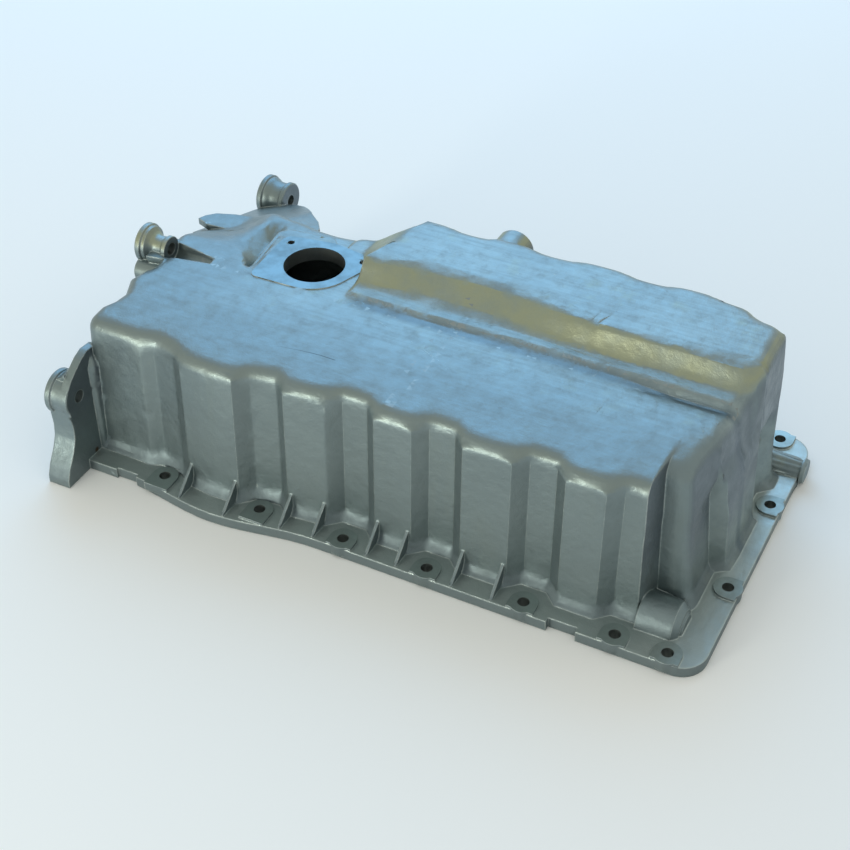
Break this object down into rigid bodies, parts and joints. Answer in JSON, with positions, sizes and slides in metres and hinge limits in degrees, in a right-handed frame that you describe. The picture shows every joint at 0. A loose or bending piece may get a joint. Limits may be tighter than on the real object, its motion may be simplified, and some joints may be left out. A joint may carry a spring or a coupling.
{
  "type": "engine oil pan",
  "caption": "Cast aluminium engine oil pan with a stepped deep sump, waved walls, a bolted flange, a level sensor port and gearbox mounting bosses.",
  "frame": {"origin": "on the flange's mating face, in the middle of its four corner bolts", "axes": "+Z away from the engine block towards the bottom of the sump, +X along the engine away from the gearbox, +Y across the engine towards the drain plug"},
  "size_m": [0.479, 0.3205, 0.137],
  "materials": {
    "cast_aluminium": "bare die-cast aluminium, fine grained, with machined pads, light handling wear and oil staining"
  },
  "bodies": {
    "root": {"oil_pan": "cast_aluminium"}
  },
  "joints": []
}
